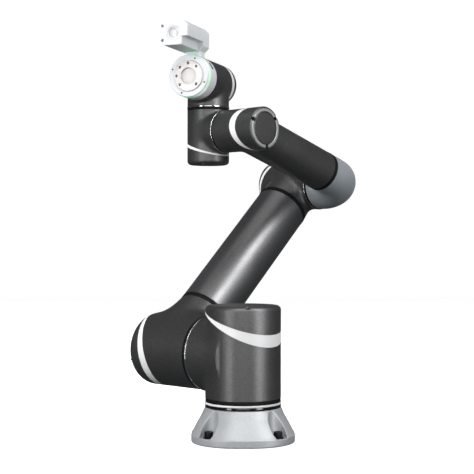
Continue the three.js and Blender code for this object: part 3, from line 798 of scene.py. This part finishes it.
gland = joined(
    turned([(6, 64), (INLET_RADIUS, 64), (INLET_RADIUS, 104), (6, 104)], True, 48),
    boolean(rod(14, 100.5, 107, segments=6), [rod(INLET_RADIUS + 0.2, 90, 120, segments=48)]),
    turned(rounded_profile(
        [(6, 104.5), (INLET_RADIUS, 104.5), (12.5, 107), (12.5, 114), (10, 116), (6, 116)],
        {2: 1, 3: 1.5}), True, 48),
)
finish_piece("foot_cable_inlet", gland, "base", ["base_cable_inlet"], RUBBER,
             shifted(0, 0, INLET_HEIGHT))
ring_piece("foot_gloss_ring", 60, 74.6, BASE_TOP + GAP, 72, "base", ["base_gloss_ring"], "gloss_black",
           GLOSS, ALONG_Z)
ring_piece("foot_white_ring", 60, 75.4, *WHITE_RING, "base", ["base_white_ring"], "band_plastic",
           FACE, ALONG_Z, 1.0)

# ---------------------------------------------------------------- shoulder
ring_piece("shoulder_seal_ring", 58, 74.2, 76.5, 84.0, "shoulder", ["shoulder_seal"], *SEAL, ALONG_Z)


def column_field(points):
    outlet = np.maximum(np.hypot(points[:, 0], points[:, 1] - SHOULDER_HEIGHT) - 76.2, points[:, 2])
    return smooth_min(capped(points, COLUMN), outlet, 9.0)


COLUMN_BAND = dict(azimuth=-90, outer=(55, 9), inner=(79, 9))
housing(
    "column_housing", COLUMN, COLUMN_BAND, column_field, ((-84, 76, -96), (84, 272, 84)),
    [((0, COLUMN["start"], 0), (0, -1, 0)), ((0, 0, -SEAM_2 + GAP), (0, 0, -1))],
    "shoulder", ["shoulder_housing"], ALONG_Z,
)
cap_and_band("column", COLUMN, COLUMN_BAND, "shoulder",
             dict(cap="shoulder_cap", band="shoulder_band"), [9, 129, 249], ALONG_Z)
ring_piece("shoulder_bright_ring", 60, 77.3, SEAM_2, SEAM_2 + 3.4, "shoulder", ["joint_2_ring"],
           *METAL, shifted(0, 0, SHOULDER_HEIGHT), 1.0)

# ---------------------------------------------------------------- upper arm
ring_piece("joint_2_black_ring", 60, 75.9, SEAM_2 + 3.7, ELBOW_LOW["start"] - GAP, "upper_arm",
           ["joint_2_seal"], *SEAL)

LOW_NECK = [(0, 70), (42, 70), (60, 66.5), (82, 61.5), (LOW_NECK_END, UPPER_TUBE_RADIUS)]
LOW_BAND = dict(azimuth=180, outer=(45, 9), inner=(65, 9))
housing(
    "lower_elbow", ELBOW_LOW, LOW_BAND, necked_module(ELBOW_LOW, UPPER_OFFSET, 1, LOW_NECK, 16.0),
    ((-84, 88, -84), (112, 272, 84)),
    [((0, ELBOW_LOW["start"], 0), (0, -1, 0)), ((LOW_NECK_END, 0, 0), (1, 0, 0))],
    "upper_arm", ["elbow_lower_housing"],
)
cap_and_band("lower_elbow", ELBOW_LOW, LOW_BAND, "upper_arm",
             dict(cap="elbow_lower_cap", band="elbow_lower_band"), [33, 153, 273], None, 5.0, 0.62)

TUBE_END = UPPER_ARM - UPPER_TUBE_END
SLEEVE = shifted(0, UPPER_OFFSET, 0, ALONG_X)
ring_piece("upper_arm_black_ring_low", 50, 58.6, UPPER_TUBE_START - RING_WIDTH, UPPER_TUBE_START - GAP,
           "upper_arm", ["upper_arm_ring_lower"], *SEAL, SLEEVE)
tube_piece("upper_arm_main_tube", UPPER_TUBE_RADIUS - WALL, UPPER_TUBE_RADIUS, UPPER_TUBE_START, TUBE_END,
           "upper_arm", "upper_arm_tube", TUBE, UPPER_OFFSET)
ring_piece("upper_arm_black_ring_top", 50, 58.6, TUBE_END + GAP, TUBE_END + RING_WIDTH,
           "upper_arm", ["upper_arm_ring_upper"], *SEAL, SLEEVE)

TOP_NECK = [(0, 52), (30, 53.5), (52, 56.5), (TOP_NECK_END, UPPER_TUBE_RADIUS)]
TOP_BAND = dict(azimuth=0, outer=(26, 8), inner=(40, 13))
AT_ELBOW = shifted(UPPER_ARM, 0, 0)
housing(
    "upper_elbow", ELBOW_TOP, TOP_BAND, necked_module(ELBOW_TOP, UPPER_OFFSET, -1, TOP_NECK, 11.0),
    ((-80, 116, -66), (64, 270, 66)),
    [((0, ELBOW_TOP["start"], 0), (0, -1, 0)), ((-TOP_NECK_END, 0, 0), (-1, 0, 0))],
    "upper_arm", ["elbow_upper_housing"], AT_ELBOW, 2.2,
)
cap_and_band("upper_elbow", ELBOW_TOP, TOP_BAND, "upper_arm",
             dict(cap="elbow_upper_cap", band="elbow_upper_band"), [25, 145, 265], AT_ELBOW, 4.5, 0.75)
ring_piece("joint_3_bright_ring", 42, 56, SEAM_3 + 5.1, ELBOW_TOP["start"] - GAP, "upper_arm",
           ["joint_3_ring"], *METAL, AT_ELBOW, 0.8)

# ---------------------------------------------------------------- forearm
ring_piece("joint_3_black_ring", 42, 55.2, SEAM_3, SEAM_3 + 4.8, "forearm", ["joint_3_seal"],
           *SEAL)


def bent_elbow():
    """A pipe that leaves the joint along -Y, bends a quarter turn and ends along +X."""
    lead = SEAM_3 - GAP - FOREARM_OFFSET - FOREARM_BEND
    arc = FOREARM_BEND * math.pi / 2
    tail = FOREARM_TUBE_START - RING_WIDTH - GAP - FOREARM_BEND
    stations = [0.0, lead / 2, *[lead + arc * k / 40 for k in range(41)]]
    stations += [lead + arc + tail * k / 4 for k in range(1, 5)]
    profile = []
    for s in stations:
        share = min(max((s - lead) / arc, 0), 1)
        taper = share * share * (3 - 2 * share)
        profile.append((55 + (FOREARM_TUBE_RADIUS - 55) * taper, s))
    profile += [(r - WALL, s) for r, s in reversed(profile)]
    bm = turned(profile, True, 112)
    for v in bm.verts:
        side, along, depth = v.co
        turn = min(max(along - lead, 0), arc) / FOREARM_BEND
        reach_ = FOREARM_BEND - side
        x = FOREARM_BEND - reach_ * math.cos(turn) + max(along - lead - arc, 0)
        y = SEAM_3 - GAP - min(along, lead) - reach_ * math.sin(turn)
        v.co = Vector((x, y, depth))
    return bm


finish_piece("forearm_grey_elbow", bent_elbow(), "forearm", ["forearm_elbow"], GREY, sharp=60)
FORE_SLEEVE = shifted(0, FOREARM_OFFSET, 0, ALONG_X)
ring_piece("forearm_black_ring", 36, 43.3, FOREARM_TUBE_START - RING_WIDTH, FOREARM_TUBE_START - GAP,
           "forearm", ["forearm_ring"], *SEAL, FORE_SLEEVE)
tube_piece("forearm_main_tube", FOREARM_TUBE_RADIUS - WALL, FOREARM_TUBE_RADIUS, FOREARM_TUBE_START,
           FOREARM - WRIST_NECK - GAP, "forearm", "forearm_tube", CHARCOAL, FOREARM_OFFSET)

A_NECK = [(0, FOREARM_TUBE_RADIUS), (80, FOREARM_TUBE_RADIUS)]
A_BAND = dict(azimuth=0, outer=(44, 11), inner=(60, 13))
CAP_NOTCHES = [7, 127, 247]
AT_WRIST = shifted(FOREARM, 0, 0)
housing(
    "wrist_1_shell", WRIST_A, A_BAND, necked_module(WRIST_A, FOREARM_OFFSET, -1, A_NECK, 4.0),
    ((-78, -10, -50), (50, 108, 50)),
    [((0, WRIST_A["start"], 0), (0, 1, 0)), ((-WRIST_NECK, 0, 0), (-1, 0, 0))],
    "forearm", ["wrist_1_housing"], AT_WRIST, 2.0,
)
cap_and_band("wrist_1", WRIST_A, A_BAND, "forearm",
             dict(cap="wrist_1_cap", band="wrist_1_band"), CAP_NOTCHES, AT_WRIST, 4.2, None)
# The first wrist cap's ring: a real ring in the cap groove, whose light satin colour is also painted
# highlight for the cap's rounded edge.
cap_ring = turned(rounded_profile(
    [(RING_IN, WRIST_A["end"] + 1.2), (RING_OUT, WRIST_A["end"] + 1.2), (RING_OUT, WRIST_A["end"] - 0.6),
     (RING_IN, WRIST_A["end"] - 0.6)], {2: 0.8, 3: 0.8}, 4), True, SEGMENTS)
cap_ring = boolean(cap_ring, [
    rod(4.2, WRIST_A["end"] - 3, WRIST_A["end"] + 3, "Y", (x * d, 0, z * d), 28)
    for x, z in notch_places(WRIST_A, CAP_NOTCHES) for d in (35, 39.1, 43)
])
finish_piece("wrist_1_ring_painted_highlight", cap_ring, "forearm", ["wrist_1_cap_ring"], SATIN_WITH_PAINTED_HIGHLIGHT, AT_WRIST)
ring_piece("joint_4_black_ring", 32, 43.4, SEAM_4, SEAM_4 + 3.3, "forearm", ["joint_4_seal"],
           *SEAL, AT_WRIST)

# ---------------------------------------------------------------- wrist, joint 4 side
ring_piece("joint_4_bright_ring", 32, 44.2, SEAM_4 + 3.6, SEAM_4 + 6.2, "wrist_1", ["joint_4_ring"],
           *METAL, None, 0.7)

B_NECK = [(0, 43.2), (80, 43.2)]
B_BAND = dict(azimuth=0, outer=(42, 20), inner=(50, 23.5))
AT_WRIST_B = shifted(0, WRIST_OFFSET, 0, WRIST_B_TURN)
housing(
    "wrist_2_shell", WRIST_B, B_BAND, necked_module(WRIST_B, 0, -1, B_NECK, 6.0),
    ((-56, -72, -50), (50, 52, 50)),
    [((0, WRIST_B["start"], 0), (0, 1, 0)), ((-(WRIST_OFFSET - SEAM_4 - 6.5), 0, 0), (-1, 0, 0))],
    "wrist_1", ["wrist_2_housing"], AT_WRIST_B, 2.0,
)
cap_and_band("wrist_2", WRIST_B, B_BAND, "wrist_1",
             dict(cap="wrist_2_cap", band="wrist_2_band"), [0, 120, 240], AT_WRIST_B, 4.0, 0.78)
ring_piece("joint_5_black_ring", 32, 43.6, SEAM_5, SEAM_5 + 5.2, "wrist_1", ["joint_5_seal"],
           *SEAL, AT_WRIST_B)

# ---------------------------------------------------------------- wrist, joint 5 side
ring_piece("joint_5_bright_ring", 32, 44.2, SEAM_5 + 5.5, SEAM_5 + 8.3, "wrist_2", ["joint_5_ring"],
           *METAL, ALONG_X, 0.7)

C_NECK = [(0, 43.4), (80, 43.4)]
C_BAND = dict(azimuth=-75, outer=(22, 8), inner=(35, 12))
AT_WRIST_C = shifted(WRIST_RISE, 0, 0)
housing(
    "wrist_3_shell", WRIST_C, C_BAND, necked_module(WRIST_C, 0, -1, C_NECK, 6.0),
    ((-58, -68, -50), (50, 66, 50)),
    [((0, WRIST_C["start"], 0), (0, 1, 0)), ((-(WRIST_RISE - SEAM_5 - 8.6), 0, 0), (-1, 0, 0))],
    "wrist_2", ["wrist_3_housing"], AT_WRIST_C, 2.0,
)
cap_and_band("wrist_3", WRIST_C, C_BAND, "wrist_2",
             dict(cap="wrist_3_cap", band="wrist_3_band"), [0, 120, 240], AT_WRIST_C, 4.0, 0.7)

# ---------------------------------------------------------------- tool head
ring_piece("joint_6_black_ring", 32, 43.3, SEAM_6, SEAM_6 + 4.0, "tool_head", ["joint_6_seal"],
           *SEAL)
BUTTON = dict(width=7.0, length=16.0, along=80.0, deck=HEAD_RADIUS - 3.4, travel=1.5)
BUTTON_ANGLES = [60, 300]


def slot_body(width, length, low, high, angle, rounding=0.0):
    """An upright slot-shaped block standing out from the tool axis at an angle about it."""
    bm = bmesh.new()
    half = (length - width) / 2
    outline = []
    for k in range(17):
        a = math.pi * k / 16
        outline.append((half + width / 2 * math.sin(a), -width / 2 * math.cos(a)))
    for k in range(17):
        a = math.pi * k / 16
        outline.append((-half - width / 2 * math.sin(a), width / 2 * math.cos(a)))
    levels = [(low, 0.0), (high - rounding, 0.0)]
    if rounding:
        levels += [(high - rounding * 0.3, rounding * 0.3), (high, rounding)]
    rows = []
    for out, inset in levels:
        shrink = 1 - inset / (width / 2)
        rows.append([
            bm.verts.new((
                out,
                BUTTON["along"] + y * shrink,
                math.copysign(max(abs(z) - inset, 0), z) if abs(z) > half else z,
            ))
            for z, y in outline
        ])
    for first, second in zip(rows, rows[1:]):
        for k in range(len(first)):
            n = (k + 1) % len(first)
            bm.faces.new([first[k], first[n], second[n], second[k]])
    bm.faces.new(rows[0])
    bm.faces.new(rows[-1])
    bmesh.ops.remove_doubles(bm, verts=bm.verts, dist=1e-4)
    bmesh.ops.recalc_face_normals(bm, faces=bm.faces)
    bmesh.ops.transform(bm, matrix=Matrix.Rotation(-math.radians(angle), 4, "Y"), verts=bm.verts)
    return bm


shell = turned(rounded_profile(
    [(35, SEAM_6 + 4.3), (HEAD_RADIUS, SEAM_6 + 4.3), (HEAD_RADIUS, SHELL_END), (35, SHELL_END)],
    {1: 0.8, 2: 0.8}, 3), True, SEGMENTS)
pocket = BUTTON["deck"] - BUTTON["travel"] - GAP
shell = boolean(shell, [
    slot_body(BUTTON["width"] + 0.6, BUTTON["length"] + 0.6, pocket, 60, a) for a in BUTTON_ANGLES
])
finish_piece("tool_head_white_shell", shell, "tool_head", ["tool_head_shell"], HEAD)
for index, angle in enumerate(BUTTON_ANGLES):
    name = f"tool_button_{index + 1}"
    key = slot_body(BUTTON["width"], BUTTON["length"], BUTTON["deck"], HEAD_RADIUS + 0.2, angle, 0.8)
    FRAMES[name] = FRAMES["tool_head"]
    finish_piece(f"tool_key_{index + 1}", key, name, [name], GLOSS)

ring_piece("tool_lamp_ring", 35, 43.4, SHELL_END + GAP, LAMP_END, "tool_head", ["tool_light_ring"],
           "lamp", LAMP, None, 1.2)
cover = turned(rounded_profile(
    [(FLANGE_RADIUS + GAP, LAMP_END + GAP), (42.9, LAMP_END + GAP), (42.9, TOOL_REACH - 2.5),
     (FLANGE_RADIUS + GAP, TOOL_REACH - 2.5)], {2: 2.2, 3: 0.4}, 5), True, SEGMENTS)
cover_spots = [
    (COVER_SCREWS * math.cos(math.radians(a)), 0, COVER_SCREWS * math.sin(math.radians(a)))
    for a in (22.5, 112.5, 202.5, 292.5)
]
cover = boolean(cover, [rod(1.9, TOOL_REACH - 4.6, TOOL_REACH + 3, "Y", s, 24) for s in cover_spots])
finish_piece("tool_front_plate", cover, "tool_head", ["tool_front_cover"], HEAD)
finish_piece(
    "tool_front_screws",
    joined(*[socket_screw(1.6, TOOL_REACH - 4.5, TOOL_REACH - 3.3, s, 1) for s in cover_spots]),
    "tool_head", [], STEEL,
)

face_plate = turned(rounded_profile(
    [(0, FLANGE_BACK), (FLANGE_RADIUS, FLANGE_BACK), (FLANGE_RADIUS, TOOL_REACH),
     (FLANGE_PILOT, TOOL_REACH), (FLANGE_PILOT, PILOT_FLOOR), (0, PILOT_FLOOR)],
    {2: 0.7, 3: 0.5, 4: 0.4}, 3), False, SEGMENTS)
hole_spots = [
    (FLANGE_BOLTS * math.cos(math.radians(a)), 0, FLANGE_BOLTS * math.sin(math.radians(a)))
    for a in (45, 135, 225, 315, 0, 270)
]
holes = []
for spot in hole_spots:
    holes.append(rod(FLANGE_HOLE, TOOL_REACH - 10, TOOL_REACH + 2, "Y", spot, 28))
    low, high = TOOL_REACH - 0.7, TOOL_REACH + 0.2
    chamfer = turned([(0, low), (FLANGE_HOLE, low), (3.5, high), (0, high)], False, 28)
    bmesh.ops.translate(chamfer, vec=spot, verts=chamfer.verts)
    holes.append(chamfer)
face_plate = boolean(face_plate, holes)
finish_piece("tool_mounting_flange", face_plate, "tool_head", ["tool_flange"], FLANGE)

# ---------------------------------------------------------------- camera
def camera_outline(step):
    """The camera's section as (height, width) corners, stepped at its lower right."""
    x = CAMERA_HEIGHT / 2
    z = CAMERA_WIDTH / 2
    x_flat = x - CAMERA_BEVEL
    z_flat = z - CAMERA_BEVEL
    corners = [(-x_flat, -z, 3), (x_flat, -z, 3), (x, -z_flat, 3), (x, z_flat, 3), (x_flat, z, 3)]
    if step:
        corners += [(-STEP_BELOW, z, 1.5), (-STEP_BELOW, STEP_ACROSS, 1.5), (-x, STEP_ACROSS, 2)]
    else:
        corners += [(-x_flat, z, 3), (-x, z_flat, 3)]
    corners += [(-x, -z_flat, 3)]
    points = [(a, b) for a, b, _ in corners]
    return rounded_profile(points, {i: c[2] for i, c in enumerate(corners)}, 5)


def prism(outline, start, end, edge=0.0):
    """A prism along Y from an outline about the camera's centre, its far rim softened."""
    bm = bmesh.new()
    levels = [(start, 0.0), (end - edge, 0.0)]
    if edge:
        levels += [(end - edge + edge * math.sin(t), edge * (1 - math.cos(t)))
                   for t in (math.pi / 6, math.pi / 3, math.pi / 2)]
    rows = []
    for y, inset in levels:
        shrink = 1 - inset / (CAMERA_HEIGHT / 2)
        rows.append([bm.verts.new((CAMERA_CENTRE + x * shrink, y, z * shrink)) for x, z in outline])
    for first, second in zip(rows, rows[1:]):
        for k in range(len(first)):
            n = (k + 1) % len(first)
            bm.faces.new([first[k], first[n], second[n], second[k]])
    bm.faces.new(rows[0])
    bm.faces.new(rows[-1])
    bmesh.ops.recalc_face_normals(bm, faces=bm.faces)
    return bm


STEP_START = TOOL_REACH - 10
FACE_START = CAMERA_FRONT - 7
body_rear = prism(camera_outline(False), CAMERA_BACK, STEP_START)
body_front = prism(camera_outline(True), STEP_START, FACE_START - GAP)
finish_piece("camera_housing", boolean(body_rear, [body_front], "UNION"), "tool_head", ["camera_body"],
             HEAD, sharp=30)

centre = (CAMERA_CENTRE, 0, 0)
front = prism(camera_outline(True), FACE_START, CAMERA_FRONT, 1.6)
indicator_spots = [(CAMERA_CENTRE + x, 0, -23.5) for x in (-14, 14)]
low, high = CAMERA_FRONT - 0.8, CAMERA_FRONT + 1
lens_groove = turned(
    [(LENS_RING_IN, low), (LENS_RING_OUT, low), (LENS_RING_OUT, high), (LENS_RING_IN, high)], True, 96,
)
bmesh.ops.translate(lens_groove, vec=centre, verts=lens_groove.verts)
indicator_holes = [
    rod(INDICATOR_HOLE, CAMERA_FRONT - 4, CAMERA_FRONT + 5, "Y", s, 28) for s in indicator_spots
]
lens_opening = rod(LENS_HOLE, FACE_START - 4, CAMERA_FRONT + 5, "Y", centre, 64)
front = boolean(front, [lens_opening, *indicator_holes, lens_groove])
finish_piece("camera_front", front, "tool_head", ["camera_face"], FACE, sharp=30)
indicators = [
    rod(INDICATOR_HOLE - 0.2, CAMERA_FRONT - 3.9, CAMERA_FRONT - 1.2, "Y", s, 28, 0.4)
    for s in indicator_spots
]
finish_piece("camera_indicators", joined(*indicators), "tool_head", [], GLOSS)
barrel = turned(rounded_profile(
    [(10, FACE_START - 14), (LENS_HOLE - 0.3, FACE_START - 14), (LENS_HOLE - 0.3, CAMERA_FRONT - 0.3),
     (LENS_HOLE - 1.3, CAMERA_FRONT - 0.3), (LENS_HOLE - 2.0, CAMERA_FRONT - 1.5), (10, CAMERA_FRONT - 1.7)],
    {2: 0.3, 3: 0.3}, 3), True, 96)
bmesh.ops.translate(barrel, vec=centre, verts=barrel.verts)
finish_piece("camera_lens_barrel", barrel, "tool_head", [], FACE)
glass = turned([(0, FACE_START - 13), (9.8, FACE_START - 13)] + [
    (9.8 * math.cos(t), CAMERA_FRONT - 3.4 + 1.6 * math.sin(t)) for t in (0, 0.3, 0.6, 0.9, 1.2)
] + [(0, CAMERA_FRONT - 1.8)], False, 64)
bmesh.ops.translate(glass, vec=centre, verts=glass.verts)
finish_piece("camera_glass", glass, "tool_head", ["camera_lens"], LENS)


def bracket_field(points):
    x, y, z = points.T
    top = CAMERA_CENTRE - CAMERA_HEIGHT / 2 - GAP
    along = np.abs(y - CAMERA_BACK - 16) - 13
    across = np.abs(z - 6) - 17
    sides = smooth_max(along, across, 6)
    block = np.maximum(along, across)
    ends = np.maximum(x - top, HEAD_RADIUS + GAP - np.hypot(x, z))
    return np.maximum(np.maximum(sides, block - 0.2), ends)


finish_piece("camera_neck", net_surface(bracket_field, (30, 66, -20), (60, 110, 34), 1.2), "tool_head",
             ["camera_bracket"], HEAD, sharp=35)

# ---------------------------------------------------------------- drives, which stay CAD
for index in range(1, 7):
    for material_slot in bpy.data.objects[f"joint_{index}_drive"].material_slots:
        material_slot.material = DRIVE

# ---------------------------------------------------------------- stage, lights and camera
def sheet(name, corners, looks):
    mesh = bpy.data.meshes.new(name)
    mesh.from_pydata(corners, [], [list(range(len(corners)))])
    mesh.materials.append(looks)
    obj = bpy.data.objects.new(name, mesh)
    bpy.context.scene.collection.objects.link(obj)
    return obj


def stage_finish():
    material, tree, shader, where = nodes_of("studio_paper")
    slow = noise(tree, where, 0.6, 2.0)
    tree.links.new(between(tree, slow, (0.93, 0.93, 0.93), (0.95, 0.95, 0.95)), shader.inputs["Base Color"])
    shader.inputs["Roughness"].default_value = 0.9
    shader.inputs["Specular IOR Level"].default_value = 0.0
    shader.inputs["Emission Color"].default_value = (1, 1, 1, 1)
    shader.inputs["Emission Strength"].default_value = 0.9
    return material


PAPER = stage_finish()
floor = sheet("studio_floor", [(-6, -6, -0.001), (6, -6, -0.001), (6, 6, -0.001), (-6, 6, -0.001)], PAPER)
dome = bmesh.new()
bmesh.ops.create_uvsphere(dome, u_segments=48, v_segments=24, radius=8)
dome_mesh = bpy.data.meshes.new("studio_dome")
dome.to_mesh(dome_mesh)
dome.free()
dome_mesh.materials.append(PAPER)
backdrop = bpy.data.objects.new("studio_dome", dome_mesh)
bpy.context.scene.collection.objects.link(backdrop)
for obj in (floor, backdrop):
    obj.visible_diffuse = False
    obj.visible_glossy = False
    obj.visible_shadow = False
    obj.visible_transmission = False

world = bpy.data.worlds.new("studio")
world.use_nodes = True
world.node_tree.nodes["Background"].inputs["Color"].default_value = (0.9, 0.95, 1.0, 1)
world.node_tree.nodes["Background"].inputs["Strength"].default_value = 0.06
bpy.context.scene.world = world


def softbox(name, azimuth, height, distance, width, tall, power, target=(0, 0, 0.42)):
    """A soft light at an azimuth from the camera's side (0 is the camera, positive to its right)."""
    light = bpy.data.lights.new(name, "AREA")
    light.shape = "RECTANGLE"
    light.size = width
    light.size_y = tall
    light.energy = power
    obj = bpy.data.objects.new(name, light)
    a = math.radians(azimuth)
    place_ = Vector((math.sin(a) * distance, -math.cos(a) * distance, height))
    obj.location = place_
    obj.rotation_euler = (Vector(target) - place_).to_track_quat("-Z", "Y").to_euler()
    bpy.context.scene.collection.objects.link(obj)
    return obj


# Lights that only shape the reflections, and lights that only fill.
for box in (
    softbox("strip_left", -42, 0.5, 2.6, 0.6, 2.0, 22),
    softbox("strip_right", 50, 1.1, 2.3, 0.8, 2.8, 56, (0.05, 0, 0.6)),
    softbox("tube_streak", 56, 2.2, 1.8, 0.9, 0.9, 22, (0, 0, 0.45)),
):
    box.visible_diffuse = False
for box in (
    softbox("left_fill", -75, 0.9, 2.2, 1.2, 1.2, 48),
    softbox("right_fill", 62, 1.0, 2.3, 1.2, 1.2, 30),
    softbox("back_left", -140, 1.4, 2.6, 1.4, 1.6, 30),
    softbox("back_right", 140, 1.4, 2.6, 1.4, 1.6, 30),
):
    box.visible_glossy = False
softbox("front_fill", 0, 0.7, 2.9, 2.2, 2.0, 22)
softbox("key", -10, 2.3, 2.1, 1.6, 1.2, 38)
softbox("overhead", 0, 3.0, 0.2, 2.0, 2.0, 12, (0, 0, 0.3))

camera = bpy.data.cameras.new("view")
camera.sensor_width = 36
camera.lens = 89.0
camera.clip_end = 40
viewer = bpy.data.objects.new("view", camera)
viewer.location = (-0.0207, -2.3042, 0.3911)
viewer.rotation_euler = (math.radians(90.19), 0, math.radians(-0.22))
bpy.context.scene.collection.objects.link(viewer)
bpy.context.scene.camera = viewer
bpy.context.scene.view_settings.view_transform = "Standard"
